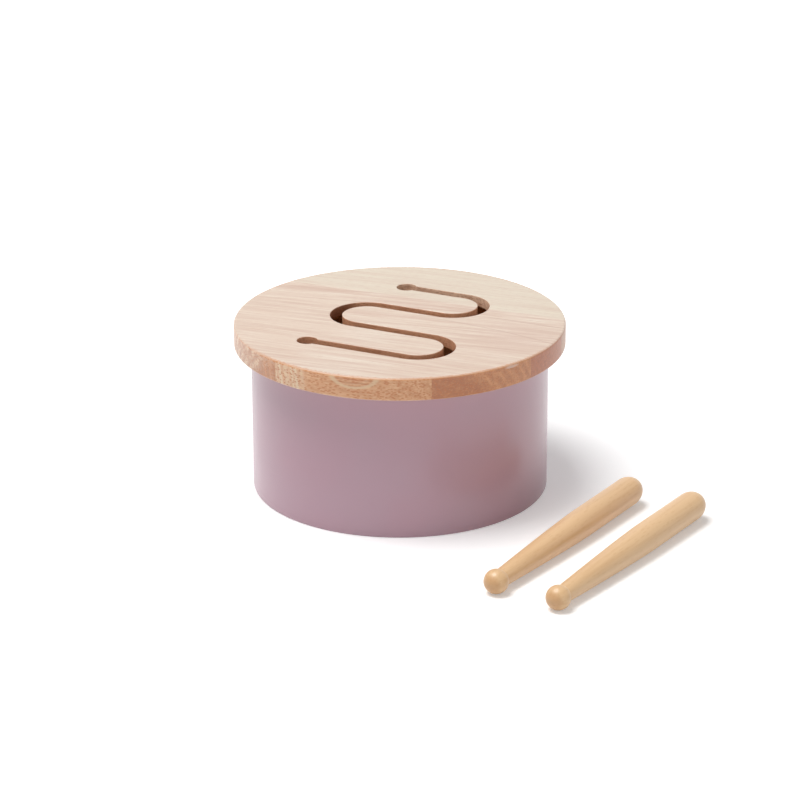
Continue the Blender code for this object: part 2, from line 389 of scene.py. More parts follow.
def swept_mesh(name, path, section):
    """Sweep a closed section, as (across, height) points, along a level line."""
    line = polyline(name + "_path", path, False)
    outline = polyline(name + "_section", [(across, -height) for across, height in section], True)
    run_tree(line, group_named("Routed slot", routing_tree), {"Section": outline})
    mesh = finished_mesh(line, name)
    bpy.data.objects.remove(outline, do_unlink=True)
    point_faces_out(mesh)
    return mesh


# Shader nodes


def math_node(tree, operation, first, second=0.0, third=0.0):
    """The result of one sum."""
    return add_node(tree, "ShaderNodeMath", {0: first, 1: second, 2: third}, operation=operation).outputs[0]


def times(tree, first, second):
    """One value times another."""
    return math_node(tree, "MULTIPLY", first, second)


def scaled(tree, value, factor, more):
    """A value times a factor, plus something more."""
    return math_node(tree, "MULTIPLY_ADD", value, factor, more)


def minus(tree, first, second):
    """One value less another."""
    return math_node(tree, "SUBTRACT", first, second)


def wave(tree, phase, swing, middle):
    """A sine wave that swings about a middle value."""
    return scaled(tree, math_node(tree, "SINE", phase), swing, middle)


def vector_node(tree, operation, first, second=(0.0, 0.0, 0.0), output="Vector"):
    """The result of one sum of vectors."""
    return add_node(tree, "ShaderNodeVectorMath", {0: first, 1: second}, operation=operation).outputs[output]


def split(tree, vector):
    """The X, Y and Z of a vector."""
    return add_node(tree, "ShaderNodeSeparateXYZ", {"Vector": vector}).outputs


def combine(tree, x, y, z):
    """A vector from its X, Y and Z."""
    return add_node(tree, "ShaderNodeCombineXYZ", {"X": x, "Y": y, "Z": z}).outputs[0]


def from_axis(tree, place, axis=(0.0, 0.0)):
    """Distance in plan from an upright axis, the drum's own unless another is given."""
    flat = vector_node(tree, "MULTIPLY", place, (1.0, 1.0, 0.0))
    return vector_node(tree, "DISTANCE", flat, (*axis, 0.0), output="Value")


def behind_line(tree, place, turn, back=0.0):
    """Distance behind a level line, from its direction in degrees and its distance from the drum's axis."""
    angle = math.radians(turn)
    across = (-math.sin(angle), math.cos(angle), 0.0)
    return minus(tree, vector_node(tree, "DOT_PRODUCT", place, across, output="Value"), back)


def oval(tree, wide, half_width, deep, half_depth):
    """Square of the distance from an oval's middle, 1 on its edge."""
    squares = []
    for value, half in ((wide, half_width), (deep, half_depth)):
        share = math_node(tree, "DIVIDE", value, half)
        squares.append(times(tree, share, share))
    return math_node(tree, "ADD", *squares)


def noise(tree, inputs, dimensions="3D"):
    """Noise between 0 and 1, with a scale of 1 unless the inputs give another."""
    node = add_node(tree, "ShaderNodeTexNoise", {"Scale": 1.0, **inputs}, noise_dimensions=dimensions)
    return node.outputs["Fac"]


def ramp(tree, value, low, high):
    """A smooth rise from 0 to 1 as the value goes from low to high."""
    inputs = {"Value": value, "From Min": low, "From Max": high}
    return add_node(tree, "ShaderNodeMapRange", inputs, interpolation_type="SMOOTHSTEP").outputs["Result"]


def fall(tree, value, low, high):
    """A smooth fall from 1 to 0 as the value goes from low to high."""
    return minus(tree, 1.0, ramp(tree, value, low, high))


def near(tree, value, middle, low, high):
    """A smooth fall from 1 to 0 as the value gets from low to high away from a middle one."""
    return fall(tree, math_node(tree, "ABSOLUTE", minus(tree, value, middle)), low, high)


def blend(tree, factor, first, second, mode="MIX"):
    """One colour over another."""
    inputs = {"Factor": factor, 6: first, 7: second}
    return add_node(tree, "ShaderNodeMix", inputs, data_type="RGBA", blend_type=mode).outputs[2]


def layered(tree, colour, *layers):
    """A colour with others laid over it, each given as (mask, strength, colour)."""
    for mask, strength, over in layers:
        colour = blend(tree, times(tree, mask, strength), colour, over)
    return colour


def relief(tree, height, depth, strength):
    """Normals of fine relief, from a height between 0 and 1."""
    inputs = {"Height": height, "Distance": depth, "Strength": strength}
    return add_node(tree, "ShaderNodeBump", inputs).outputs["Normal"]


# Parts of the wood's figure, and its measures where a material gives no others
FIGURE_PARTS = ("Streaks", "Dark Threads", "Light Threads", "Fibres", "Rings", "Pores")
FIGURE_MEASURES = {
    "Seed": 0.0,
    "Streak Length": 0.060,
    "Streak Width": 0.0020,
    "Ring Spacing": 0.0060,
    "Ring Wobble": 0.0030,
    "Pore Length": 0.0060,
    "Pore Width": 0.0009,
    "Pore Share": 0.5,
}
RING_CENTRE = (0.0, 0.0, -0.04)

# Noise of the figure: size along and across the grain, detail, roughness and shift of the seed.
# The sizes are shares of the streaks' length and width, and metres for the wobble.
STREAK_NOISE = (1.0, 1.0, 3.0, 0.55, 0.0)
THREAD_NOISE = (0.45, 0.34, 2.0, 0.55, 5.9)
FIBRE_NOISE = (0.20, 0.13, 2.0, 0.5, 3.1)
WOBBLE_NOISE = (0.045, 0.016, 1.0, 0.5, 11.3)

# Noise values between which each part of the figure rises or falls
STREAK_RISE = (0.44, 0.66)
DARK_THREAD_RISE = (0.50, 0.66)
LIGHT_THREAD_FALL = (0.34, 0.48)
PORE_FALL = (0.28, 0.50)


def wood_figure_group(name):
    """Streaks, growth rings, pores and fibres of wood, with the grain along the vector's X."""
    inputs = [("Vector", "NodeSocketVector", None), ("Ring Centre", "NodeSocketVector", RING_CENTRE)]
    inputs += [(label, "NodeSocketFloat", value) for label, value in FIGURE_MEASURES.items()]
    outputs = [(label, "NodeSocketFloat") for label in FIGURE_PARTS]
    tree, start, end = new_group(name, "ShaderNodeTree", inputs, outputs)
    given = start.outputs
    seed = given["Seed"]

    def stretched(length, width):
        """The vector measured in lengths along the grain and in widths across it."""
        return vector_node(tree, "DIVIDE", given["Vector"], combine(tree, length, width, width))

    def grain_noise(length, width, detail, roughness, shift):
        """Noise in four dimensions, the fourth being the seed."""
        inputs = {"Vector": stretched(length, width), "Detail": detail, "Roughness": roughness}
        return noise(tree, {**inputs, "W": math_node(tree, "ADD", seed, shift)}, "4D")

    def streak_noise(along, across, detail, roughness, shift):
        """Noise with shares of the streaks' length and width as its size."""
        length = times(tree, given["Streak Length"], along)
        width = times(tree, given["Streak Width"], across)
        return grain_noise(length, width, detail, roughness, shift)

    threads = streak_noise(*THREAD_NOISE)
    wobble = times(tree, minus(tree, grain_noise(*WOBBLE_NOISE), 0.5), given["Ring Wobble"])
    from_centre = vector_node(tree, "SUBTRACT", given["Vector"], given["Ring Centre"])
    across_grain = vector_node(tree, "MULTIPLY", from_centre, (0.0, 1.0, 1.0))
    distance = vector_node(tree, "LENGTH", across_grain, output="Value")
    rings = math_node(tree, "DIVIDE", math_node(tree, "ADD", distance, wobble), given["Ring Spacing"])

    pore_place = stretched(given["Pore Length"], given["Pore Width"])
    moved_place = vector_node(tree, "ADD", pore_place, combine(tree, seed, seed, seed))
    cells = add_node(tree, "ShaderNodeTexVoronoi", {"Vector": moved_place, "Scale": 1.0})
    lot = add_node(tree, "ShaderNodeSeparateColor", {"Color": cells.outputs["Color"]}).outputs["Red"]
    present = math_node(tree, "LESS_THAN", lot, given["Pore Share"])

    results = (
        ramp(tree, streak_noise(*STREAK_NOISE), *STREAK_RISE),
        ramp(tree, threads, *DARK_THREAD_RISE),
        fall(tree, threads, *LIGHT_THREAD_FALL),
        streak_noise(*FIBRE_NOISE),
        wave(tree, times(tree, rings, math.tau), 0.5, 0.5),
        times(tree, fall(tree, cells.outputs["Distance"], *PORE_FALL), present),
    )
    for socket, value in zip(end.inputs, results):
        tree.links.new(value, socket)
    return tree


def wood_figure(tree, vector, seed, measures):
    """The parts of the wood's figure in a material, by name."""
    inputs = {"Vector": vector, "Seed": seed, **measures}
    group = group_named("Wood figure", wood_figure_group)
    return add_node(tree, "ShaderNodeGroup", inputs, node_tree=group).outputs


# Broad tones of the lid's top. The edge between the front and the back tone is a level line, as
# (direction, distance behind the axis), and it wavers. Spots are given as (middle, reach).
TONE_EDGE = (-23.5, 0.0330)
TONE_EDGE_RISE = (-0.0015, 0.0015)
WAVER_SCALE = (20.0, 60.0, 1.0)
WAVER_SWING = 0.008
STREAKED_RISE = (-0.020, -0.004)
STREAKED_FALL = (-0.001, 0.001)
ROSY_SPOT = ((0.058, -0.026), 0.040)
PALE_SPOTS = (((-0.030, -0.066), 0.032), ((-0.012, -0.020), 0.024))

# The two dark lines at the right. The first one starts at a place along X, has a distance back and a slope
# there, and bends. A width says where a line starts to fade and where it ends.
CURVE_START = 0.004
CURVE_BACK = 0.0075
CURVE_SLOPE = -0.38
CURVE_BEND = -3.2
CURVE_WIDTH = (0.0001, 0.0008)
CURVE_RISE = (0.004, 0.030)
STRAIGHT_LINE = (-25.0, 0.0222)
STRAIGHT_WIDTH = (0.0001, 0.0007)
STRAIGHT_RISE = (0.036, 0.050)


def spot(tree, place, middle, reach):
    """A soft round spot on the lid, 1 at its middle."""
    return fall(tree, from_axis(tree, place, middle), 0.0, reach)


def lid_tone_group(name):
    """Masks of the lid's broad tones, in the drum's own place."""
    outputs = [(label, "NodeSocketFloat") for label in ("Behind", "Streaked", "Rosy", "Pale", "Dark Lines")]
    tree, start, end = new_group(name, "ShaderNodeTree", [("Vector", "NodeSocketVector", None)], outputs)
    place = start.outputs["Vector"]
    waver = noise(tree, {"Vector": vector_node(tree, "MULTIPLY", place, WAVER_SCALE), "Detail": 3.0})
    sway = scaled(tree, waver, WAVER_SWING, -WAVER_SWING / 2.0)
    behind = math_node(tree, "ADD", behind_line(tree, place, *TONE_EDGE), sway)
    band = times(tree, fall(tree, behind, *STREAKED_FALL), ramp(tree, behind, *STREAKED_RISE))
    pale = math_node(tree, "MAXIMUM", *[spot(tree, place, *values) for values in PALE_SPOTS])

    x, y, _ = split(tree, place)
    along = minus(tree, x, CURVE_START)
    bend = times(tree, times(tree, along, along), CURVE_BEND)
    curve = math_node(tree, "ADD", scaled(tree, along, CURVE_SLOPE, CURVE_BACK), bend)
    on_curve = times(tree, near(tree, y, curve, *CURVE_WIDTH), ramp(tree, x, *CURVE_RISE))
    straight = near(tree, behind_line(tree, place, *STRAIGHT_LINE), 0.0, *STRAIGHT_WIDTH)
    on_straight = times(tree, straight, ramp(tree, x, *STRAIGHT_RISE))
    lines = math_node(tree, "MAXIMUM", on_curve, on_straight)

    results = (ramp(tree, behind, *TONE_EDGE_RISE), band, spot(tree, place, *ROSY_SPOT), pale, lines)
    for socket, value in zip(end.inputs, results):
        tree.links.new(value, socket)
    return tree


def new_material(name):
    """A material with its Principled shader, and the place and facing of the surface."""
    material = bpy.data.materials.new(name)
    material.use_nodes = True
    tree = material.node_tree
    surface = tree.nodes.new("ShaderNodeTexCoord").outputs
    return material, tree, tree.nodes["Principled BSDF"], surface["Object"], surface["Normal"]


# Colours of the lid's top, as a screen shows them
TOP_FRONT = screen_colour(222, 201, 182)
TOP_BACK = screen_colour(222, 208, 188)
TOP_STREAK = screen_colour(198, 163, 143)
TOP_ROSY = screen_colour(212, 184, 168)
TOP_PALE = screen_colour(232, 219, 203)
TOP_LINE = screen_colour(182, 144, 124)

# Strength of the top's figure in the front tone, and what the back tone and the streaked band add to it
FRONT_STRENGTH = 0.46
BACK_MORE = -0.26
STREAKED_MORE = 0.30


def top_colour(tree, place, figure):
    """Colour of the lid's top: broad tones with long streaks, finer threads and pores over them."""
    group = group_named("Lid tones", lid_tone_group)
    tones = add_node(tree, "ShaderNodeGroup", {"Vector": place}, node_tree=group).outputs
    strength = scaled(tree, tones["Behind"], BACK_MORE, FRONT_STRENGTH)
    strength = scaled(tree, tones["Streaked"], STREAKED_MORE, strength)
    return layered(
        tree,
        blend(tree, tones["Behind"], TOP_FRONT, TOP_BACK),
        (tones["Rosy"], 0.60, TOP_ROSY),
        (tones["Pale"], 0.60, TOP_PALE),
        (figure["Light Threads"], strength, TOP_PALE),
        (figure["Streaks"], strength, TOP_STREAK),
        (figure["Dark Threads"], strength, TOP_STREAK),
        (figure["Pores"], 0.22, TOP_STREAK),
        (figure["Rings"], 0.12, TOP_STREAK),
        (tones["Dark Lines"], 0.45, TOP_LINE),
    )


# Growth rings that lean across the ends of board 2, with their centre below and in front of the rim.
# Inside the first broad ring the wood is darker, and outside it lighter, more so towards the left. That paler
# colour at the left end is partly the board's own tone and partly a painted reflection of the white
# surroundings, where the rim turns away.
LEANING_CENTRE = (0.0, -0.1026, 0.0420)
LEANING_EDGE = 0.0560
LEANING_DRIFT = 0.07
LEANING_EDGE_FALL = (-0.0012, 0.0012)
LEANING_WAVES = 1500.0
LEFT_END_TONE_AND_SHEEN = screen_colour(244, 216, 188)
LEFT_END_SHEEN_FALL = (-0.060, 0.010)


def leaning_rings(tree, place, dark, light):
    """Colour of board 2 on the rim, before its streaks and pores."""
    x, _, z = split(tree, place)
    section = combine(tree, 0.0, behind_line(tree, place, settings().lid.board_turn), z)
    distance = vector_node(tree, "DISTANCE", section, LEANING_CENTRE, output="Value")
    past = minus(tree, distance, scaled(tree, x, LEANING_DRIFT, LEANING_EDGE))
    # Paler towards the left end: partly the board's tone, partly a painted reflection
    outer = blend(tree, fall(tree, x, *LEFT_END_SHEEN_FALL), light, LEFT_END_TONE_AND_SHEEN)
    rim = layered(tree, outer, (fall(tree, past, *LEANING_EDGE_FALL), 0.65, dark))
    return blend(tree, wave(tree, times(tree, past, LEANING_WAVES), 0.20, 0.20), rim, dark)


# Upright bands on the rim beside the left glue line: their colour, and where along X they start and end
BAND_LOOKS = {
    "lid_board_1": (screen_colour(246, 224, 194), (-0.0620, -0.0600), (-0.0500, -0.0430)),
    "lid_board_2": (screen_colour(224, 168, 128), (-0.0670, -0.0650), (-0.0580, -0.0560)),
}
BAND_PITCH = 0.0016
BAND_LEAN = 0.15
BAND_RISE = (0.36, 0.68)


def add_upright_bands(tree, place, rim, colour, start, end):
    """Paint ragged upright bands over one stretch of the rim."""
    x, _, z = split(tree, place)
    along = math_node(tree, "DIVIDE", scaled(tree, z, BAND_LEAN, x), BAND_PITCH)
    bands = ramp(tree, noise(tree, {"W": along, "Detail": 2.0}, "1D"), *BAND_RISE)
    stretch = times(tree, ramp(tree, x, *start), fall(tree, x, *end))
    return layered(tree, rim, (stretch, scaled(tree, bands, 0.55, 0.22), colour))


# The pale bowl of growth rings that hangs from the rim's upper edge at the front.
# Its two pale rings are given as (distance from the middle, where they start to fade, where they end).
BOWL_TURN = -15.5
BOWL_HALF_WIDTH = 0.0122
BOWL_DEPTH = 0.0060
BOWL_PALE = screen_colour(236, 206, 168)
BOWL_DARK = screen_colour(194, 114, 68)
BOWL_OUTER_RING = (0.90, 0.04, 0.17)
BOWL_INNER_RING = (0.58, 0.02, 0.15)
BOWL_FALL = (0.80, 0.95)
BOWL_RAGGED = 0.16
BOWL_WAVES = 3600.0
BOWL_WAVER = 6.0


def add_bowl_figure(tree, place, rim, figure):
    """Paint the bowl of growth rings over the rim's colour."""
    below = minus(tree, lid_high.z, split(tree, place)["Z"])
    squares = oval(tree, behind_line(tree, place, BOWL_TURN - 90.0), BOWL_HALF_WIDTH, below, BOWL_DEPTH)
    ragged = scaled(tree, figure["Fibres"], BOWL_RAGGED, -BOWL_RAGGED / 2.0)
    reach = math_node(tree, "ADD", math_node(tree, "SQRT", squares), ragged)
    inner = times(tree, near(tree, reach, *BOWL_INNER_RING), 0.3)
    pale = math_node(tree, "MAXIMUM", near(tree, reach, *BOWL_OUTER_RING), inner)
    waves = scaled(tree, below, BOWL_WAVES, times(tree, figure["Fibres"], BOWL_WAVER))
    lines = wave(tree, waves, 0.42, 0.34)
    return layered(tree, rim, (fall(tree, reach, *BOWL_FALL), lines, BOWL_DARK), (pale, 0.70, BOWL_PALE))


# The pale mark just below the rim's upper edge, right of the front
PALE_MARK_X = 0.0536
PALE_MARK_BELOW = 0.0011
PALE_MARK_HALF_LENGTH = 0.0036
PALE_MARK_HALF_HEIGHT = 0.0010
PALE_MARK_RAGGED = 1.2
PALE_MARK_FALL = (0.8, 1.8)
PALE_MARK_COLOUR = screen_colour(238, 214, 200)


def add_pale_mark(tree, place, rim, figure):
    """Paint the pale mark over the rim's colour."""
    x, _, z = split(tree, place)
    wide = minus(tree, x, PALE_MARK_X)
    below = minus(tree, lid_high.z - PALE_MARK_BELOW, z)
    squares = oval(tree, wide, PALE_MARK_HALF_LENGTH, below, PALE_MARK_HALF_HEIGHT)
    ragged = scaled(tree, figure["Fibres"], PALE_MARK_RAGGED, squares)
    return layered(tree, rim, (fall(tree, ragged, *PALE_MARK_FALL), 0.65, PALE_MARK_COLOUR))


# Rim colours of the boards, as a screen shows them: plain wood, darker streaks and lighter streaks.
# The last value is how strongly the pores show.
RIM_LOOKS = {
    "lid_board_1": ((232, 178, 134), (202, 134, 88), (246, 210, 168), 0.70),
    "lid_board_2": ((208, 140, 102), (182, 112, 76), (226, 164, 116), 0.55),
    "lid_board_3a": ((212, 178, 156), (190, 146, 120), (222, 192, 172), 0.25),
    "lid_board_3b": ((200, 130, 98), (172, 104, 76), (212, 148, 114), 0.45),
    "lid_board_4a": ((214, 174, 142), (190, 140, 108), (226, 192, 162), 0.45),
    "lid_board_4b": ((206, 162, 130), (178, 124, 94), (218, 180, 148), 0.45),
    "lid_board_5": ((220, 184, 150), (192, 144, 110), (232, 202, 170), 0.50),
    "lid_board_6": ((212, 172, 142), (184, 132, 102), (224, 190, 160), 0.45),
}
PORE_COLOUR = screen_colour(200, 118, 66)


def rim_colour(tree, name, place, figure):
    """Colour of one board where the rim cuts through it."""
    *colours, pores = RIM_LOOKS[name]
    plain, dark, light = [screen_colour(*colour) for colour in colours]
    if name == "lid_board_2":
        plain = leaning_rings(tree, place, dark, light)
    rim = layered(
        tree,
        plain,
        (figure["Streaks"], 0.45, dark),
        (figure["Light Threads"], 0.45, light),
        (figure["Dark Threads"], 0.40, dark),
        (figure["Rings"], 0.20, dark),
    )
    if name in BAND_LOOKS:
        rim = add_upright_bands(tree, place, rim, *BAND_LOOKS[name])
    rim = layered(tree, rim, (figure["Pores"], pores, PORE_COLOUR))
    if name == "lid_board_1":
        rim = add_bowl_figure(tree, place, rim, figure)
    if name == "lid_board_2":
        rim = add_pale_mark(tree, place, rim, figure)
    return rim


# Colours of the slot's wall. At the left half turn a darker brown is painted on the wall as painted shade,
# where the wall faces away from the light, and the back boards are paler.
SLOT_WALL = screen_colour(230, 172, 134)
SLOT_WALL_BACK = screen_colour(250, 212, 182)
SLOT_PAINTED_SHADE = screen_colour(158, 98, 66)
SLOT_STREAK = screen_colour(184, 122, 88)
PAINTED_SHADE_PLACE = (-0.0320, 0.0180)
PAINTED_SHADE_REACH = (0.0070, 0.0150)
PALE_WALLS = ("lid_board_4b", "lid_board_5", "lid_board_6")


def slot_wall_colour(tree, name, place, figure):
    """Colour of one board where the slot cuts through it."""
    return layered(
        tree,
        SLOT_WALL_BACK if name in PALE_WALLS else SLOT_WALL,
        (figure["Streaks"], 0.50, SLOT_STREAK),
        (figure["Pores"], 0.35, SLOT_STREAK),
        # Painted shade: darker brown on the walls round the left half turn
        (fall(tree, from_axis(tree, place, PAINTED_SHADE_PLACE), *PAINTED_SHADE_REACH), 0.85, SLOT_PAINTED_SHADE),
    )


# The line of torn fibres along the rim's upper edge, which fades towards the drum's sides.
# The rises and falls of the facing say how far up a face has to look.
EDGE_COLOUR = screen_colour(206, 138, 84)
EDGE_SIDES = (0.058, 0.080)
EDGE_FACING_RISE = (0.10, 0.35)
EDGE_FACING_FALL = (0.70, 0.95)
TORN_DEPTH = 0.0009
TORN_PITCH = 0.0011
TORN_RISE = (0.45, 0.65)
TORN_SOFTNESS = 0.0004
TORN_FACING_RISE = (0.5, 0.9)


def torn_edge(tree, place, from_middle, up):
    """Teeth of torn fibres that reach from the rim onto the lid's top."""
    fine = vector_node(tree, "DIVIDE", place, (TORN_PITCH, TORN_PITCH, TORN_PITCH))
    teeth = ramp(tree, noise(tree, {"Vector": fine, "Detail": 1.0}), *TORN_RISE)
    start = lid_reach - settings().lid.edge_round
    on_edge = ramp(tree, scaled(tree, teeth, TORN_DEPTH, from_middle), start, start + TORN_SOFTNESS)
    return times(tree, times(tree, on_edge, ramp(tree, up, *TORN_FACING_RISE)), 0.55)


def edge_line(tree, place, from_middle, up, outside, pores):
    """Mask of the torn line: the rounded edge itself, and the teeth on the top beside it."""
    rounding = times(tree, ramp(tree, up, *EDGE_FACING_RISE), fall(tree, up, *EDGE_FACING_FALL))
    edge = times(tree, times(tree, rounding, outside), scaled(tree, pores, 0.35, 0.40))
    edge = math_node(tree, "MAXIMUM", edge, torn_edge(tree, place, from_middle, up))
    return times(tree, edge, near(tree, split(tree, place)["X"], 0.0, *EDGE_SIDES))


# The boards' wood. The grain of each board strays from the boards' direction by up to a few degrees.
GRAIN_STRAY = 3.0
TOP_SEED = 3.7
TOP_FIGURE = {
    "Streak Length": 0.060,
    "Streak Width": 0.0028,
    "Ring Spacing": 0.0072,
    "Pore Length": 0.0042,
    "Pore Width": 0.0007,
}
CUT_SEED = 5.3
CUT_FIGURE = {
    "Streak Length": 0.014,
    "Streak Width": 0.0018,
    "Ring Spacing": 0.0036,
    "Ring Wobble": 0.004,
    "Pore Length": 0.0022,
    "Pore Width": 0.0009,
    "Pore Share": 0.85,
}

# Facings between which a face stops being upright, and how far in from the rim the rim's colour ends
UPRIGHT_FALL = (0.45, 0.85)
RIM_FALL = (0.006, 0.004)


def board_material(name, number):
    """Bare wood of one board, pale on top, browner on the rim and in the slot."""
    material, tree, shader, place, facing = new_material("wood_" + name)
    turn = math.radians(-settings().lid.board_turn + GRAIN_STRAY * math.sin(number))
    turned = add_node(tree, "ShaderNodeMapping", {"Vector": place, "Rotation": (0.0, 0.0, turn)}).outputs[0]
    top_centre = (0.0, 0.03 * math.cos(2.0 * number), 0.03)
    cut_centre = (0.0, -0.03 * math.cos(number), 0.10)
    figure = wood_figure(tree, turned, TOP_SEED * number, {**TOP_FIGURE, "Ring Centre": top_centre})
    cut_figure = wood_figure(tree, turned, CUT_SEED * number, {**CUT_FIGURE, "Ring Centre": cut_centre})
    top = top_colour(tree, place, figure)
    rim = rim_colour(tree, name, place, cut_figure)
    wall = slot_wall_colour(tree, name, place, cut_figure)

    up = split(tree, facing)["Z"]
    upright = near(tree, up, 0.0, *UPRIGHT_FALL)
    from_middle = from_axis(tree, place)
    inside = fall(tree, from_middle, *[lid_reach - depth for depth in RIM_FALL])
    outside = minus(tree, 1.0, inside)
    colour = blend(tree, upright, top, blend(tree, inside, rim, wall))
    edge = edge_line(tree, place, from_middle, up, outside, cut_figure["Pores"])
    colour = blend(tree, edge, colour, EDGE_COLOUR)
    height = minus(tree, figure["Fibres"], cut_figure["Pores"])
    set_inputs(tree, shader, {
        "Base Color": blend(tree, 1.0, colour, scaled(tree, figure["Fibres"], 0.12, 0.94), "MULTIPLY"),
        "Roughness": scaled(tree, figure["Fibres"], 0.20, 0.45),
        "Coat Weight": scaled(tree, times(tree, upright, outside), 0.12, 0.45),
        "Coat Roughness": 0.30,
        "Normal": relief(tree, height, 0.00010, 0.22),
    })
    return material


# The paint's grain in waves per metre, its rosier patches as shares of its colour, and the bare wood inside
PAINT_GRAIN = (55.0, 55.0, 1500.0)
PAINT_CLOUDS = 22.0
PAINT_CLOUD_RISE = (0.35, 0.65)
PAINT_ROSIER = (1.02, 0.975, 0.98, 1.0)
RING_BARE = screen_colour(214, 160, 116)
RING_STREAK = screen_colour(180, 122, 80)
RING_SEED = 29.0
UNPAINTED_REACH = 0.0010


def paint_material():
    """Satin paint on plywood, with the veneer's grain showing faintly through. The ring is bare inside."""
    material, tree, shader, place, _ = new_material("mauve_paint")
    lengthwise = vector_node(tree, "MULTIPLY", place, PAINT_GRAIN)
    grain = noise(tree, {"Vector": lengthwise, "Detail": 3.0, "Roughness": 0.6})
    cloud = noise(tree, {"Vector": place, "Scale": PAINT_CLOUDS, "Detail": 2.0})
    base = tuple(settings().shell.paint)
    rosier = tuple(min(1.0, value * factor) for value, factor in zip(base, PAINT_ROSIER))
    painted = blend(tree, ramp(tree, cloud, *PAINT_CLOUD_RISE), base, rosier)
    figure = wood_figure(tree, place, RING_SEED, {"Streak Width": 0.003})
    bare = blend(tree, figure["Streaks"], RING_BARE, RING_STREAK)
    inner = shell_high.x - settings().shell.wall
    unpainted = fall(tree, from_axis(tree, place), inner + UNPAINTED_REACH, inner + 2.0 * UNPAINTED_REACH)
    set_inputs(tree, shader, {
        "Base Color": blend(tree, unpainted, painted, bare),
        "Roughness": scaled(tree, grain, 0.12, 0.36),
        "Coat Weight": 0.65,
        "Coat Roughness": 0.22,
        "Normal": relief(tree, grain, 0.00008, 0.22),
    })
    return material


PLYWOOD_PLAIN = screen_colour(226, 196, 156)
PLYWOOD_STREAK = screen_colour(200, 162, 118)
PLYWOOD_PORE = screen_colour(166, 122, 82)
PLYWOOD_SEED = 41.0
PLYWOOD_FIGURE = {"Streak Length": 0.09, "Streak Width": 0.004, "Pore Share": 0.3}


def plywood_material():
    """Sanded plywood of the base board."""
    material, tree, shader, place, _ = new_material("plywood")
    figure = wood_figure(tree, place, PLYWOOD_SEED, PLYWOOD_FIGURE)
    colour = blend(tree, figure["Streaks"], PLYWOOD_PLAIN, PLYWOOD_STREAK)
    set_inputs(tree, shader, {
        "Base Color": layered(tree, colour, (figure["Pores"], 0.40, PLYWOOD_PORE)),
        "Roughness": 0.6,
        "Normal": relief(tree, figure["Fibres"], 0.0001, 0.3),
    })
    return material


# The drumsticks' wood. End grain shows low on the ball, between two places along the stick.
STICK_PLAIN = screen_colour(234, 194, 146)
STICK_STREAK = screen_colour(212, 162, 108)
STICK_END = screen_colour(204, 150, 98)
STICK_END_FALL = (-0.0052, -0.0030)
STICK_FIGURE = {
    "Streak Length": 0.050,
    "Streak Width": 0.0018,
    "Ring Spacing": 0.0030,
    "Ring Centre": (0.0, 0.012, 0.006),
    "Ring Wobble": 0.002,
    "Pore Length": 0.0045,
    "Pore Width": 0.0008,
    "Pore Share": 0.35,
}


def stick_material(name, location, rotation, seed):
    """Lacquered wood with the grain along the drumstick, darker where the end grain shows."""
    material, tree, shader, place, _ = new_material(name)
    inputs = {"Vector": place, "Location": location, "Rotation": rotation}
    local = add_node(tree, "ShaderNodeMapping", inputs, vector_type="TEXTURE").outputs[0]
    x, y, z = split(tree, local)
    figure = wood_figure(tree, combine(tree, z, x, y), seed, STICK_FIGURE)
    colour = layered(
        tree,
        STICK_PLAIN,
        (figure["Streaks"], 0.24, STICK_STREAK),
        (figure["Rings"], 0.10, STICK_STREAK),
        (figure["Pores"], 0.22, STICK_STREAK),
        (fall(tree, z, *STICK_END_FALL), 0.55, STICK_END),
    )
    set_inputs(tree, shader, {
        "Base Color": colour,
        "Roughness": 0.45,
        "Coat Weight": 0.45,
        "Coat Roughness": 0.30,
        "Normal": relief(tree, figure["Fibres"], 0.00006, 0.18),
    })
    return material


# Lid, with the steps of its roundings and of the round holes
RIM_ROUND_STEPS = 8
SLOT_EDGE_STEPS = 5
HOLE_STEPS = 48


def lid_blank_mesh():
    """The whole lid as one disc, with rounded edges, and the groove for the ring and the hollow below."""
    lid = settings().lid
    top, bottom = lid_high.z, lid_low.z
    corner = lid_reach - lid.edge_round
    outer = shell_high.x + lid.groove_fit
    inner = shell_high.x - settings().shell.wall - lid.groove_fit
    groove_top = bottom + lid.groove_depth
    hollow = inner - lid.hollow_lip
    hollow_top = top - lid.tongue_thickness
    profile = [(0.0, top)]
    profile += arc((corner, top - lid.edge_round), lid.edge_round, 90.0, 0.0, RIM_ROUND_STEPS)
    profile += arc((corner, bottom + lid.edge_round), lid.edge_round, 0.0, -90.0, RIM_ROUND_STEPS)
    profile += [(outer, bottom), (outer, groove_top), (inner, groove_top), (inner, bottom)]
    profile += [(hollow, bottom), (hollow, hollow_top), (0.0, hollow_top)]
    return turned_mesh("lid_blank", profile, lid.ring_steps, False)


def routed_section(half_width, edge):
    """Right side of the cut that a router bit leaves, from below the lid to above it."""
    top = lid_high.z + JOIN_DISTANCE
    points = [(half_width, lid_low.z - CUT_MARGIN)]
    for step in range(SLOT_EDGE_STEPS + 1):
        angle = math.radians(90.0 * step / SLOT_EDGE_STEPS)
        points.append((half_width + edge * (1.0 - math.cos(angle)), top - edge + edge * math.sin(angle)))
    points.append((half_width + edge, top + CUT_MARGIN))
    return points


def slot_path():
    """Middle line of the slot in plan, from the back hole to the front hole."""
    lid = settings().lid
    radius = lid.turn_radius
    line = [(lid.hole_places[0], 3.0 * radius)]
    half_turn = arc((0.0, 0.0), radius, 90.0, -90.0, lid.turn_steps)
    for index, bulge in enumerate((1.0, -1.0, 1.0)):
        place, middle = lid.turn_places[index], (2.0 - 2.0 * index) * radius
        line += [(place + bulge * along, middle + across) for along, across in half_turn]
    line.append((lid.hole_places[1], -3.0 * radius))
    return [turned_about_centre(along, across + lid.slot_shift, lid.slot_turn) for along, across in line]


